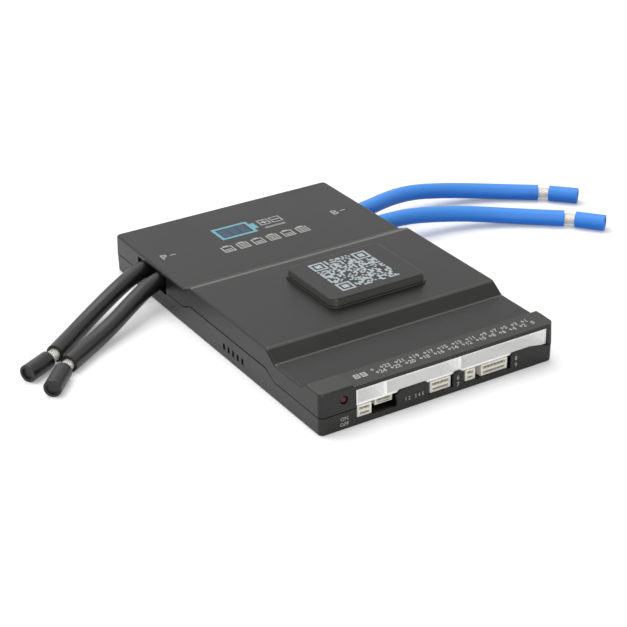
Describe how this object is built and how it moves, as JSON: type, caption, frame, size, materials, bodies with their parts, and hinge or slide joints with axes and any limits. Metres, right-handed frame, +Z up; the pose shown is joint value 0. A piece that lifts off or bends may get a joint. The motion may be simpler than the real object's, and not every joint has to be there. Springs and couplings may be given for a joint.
{
  "type": "battery management board",
  "caption": "Battery protection board in a black stepped case, with balance sockets and signal ports at the front and thick black and blue leads at the sides.",
  "frame": {"origin": "middle of the case's underside, which is what the part rests on", "axes": "+X to the right along the connector face, +Y from the connector face to the rear, +Z up"},
  "size_m": [0.2786, 0.162, 0.0224],
  "materials": {
    "case": "fine-grained charcoal case shells, satin",
    "socket_white": "white moulded nylon",
    "contact": "tin-plated brass pins",
    "board": "glass-fibre board with green solder resist",
    "component_black": "moulded epoxy component bodies",
    "can": "drawn cans",
    "soft_pad": "soft heat-conducting pad",
    "screw": "zinc-plated screws",
    "strands": "tinned copper strands",
    "bar": "tinned copper bars",
    "lead_black": "black silicone insulation, slightly glossy",
    "lead_blue": "blue silicone insulation, slightly glossy",
    "lamp": "dark red lens, unlit"
  },
  "bodies": {
    "root": {"upper_cover": "case", "lower_base": "case", "case_screws": "screw", "board_screws": "screw", "main_board": "board", "power_transistors": "component_black", "thermal_pad": "soft_pad", "balance_header_4": "socket_white", "balance_header_12": "socket_white", "balance_header_15": "socket_white", "balance_pins_4": "contact", "balance_pins_12": "contact", "balance_pins_15": "contact", "signal_port_3": "socket_white", "signal_port_4": "socket_white", "signal_port_5": "socket_white", "signal_port_2": "socket_white", "signal_port_7": "socket_white", "signal_pins_3": "contact", "signal_pins_4": "contact", "signal_pins_5": "contact", "signal_pins_2": "contact", "signal_pins_7": "contact", "status_lamp": "lamp", "lamp_legs": "contact", "p_bar": "bar", "b_bar": "bar", "shunt_resistors": "component_black", "controller_chip": "component_black", "radio_module": "component_black", "sense_chips": "component_black", "balance_coil": "component_black", "storage_capacitors": "can", "p_lead_rear": "lead_black", "p_lead_front": "lead_black", "b_lead_rear": "lead_blue", "b_lead_front": "lead_blue", "p_wire_rear": "strands", "p_wire_front": "strands", "b_wire_rear": "strands", "b_wire_front": "strands", "p_tip_rear": "lead_black", "p_tip_front": "lead_black", "b_tip_rear": "lead_blue", "b_tip_front": "lead_blue"}
  },
  "joints": []
}
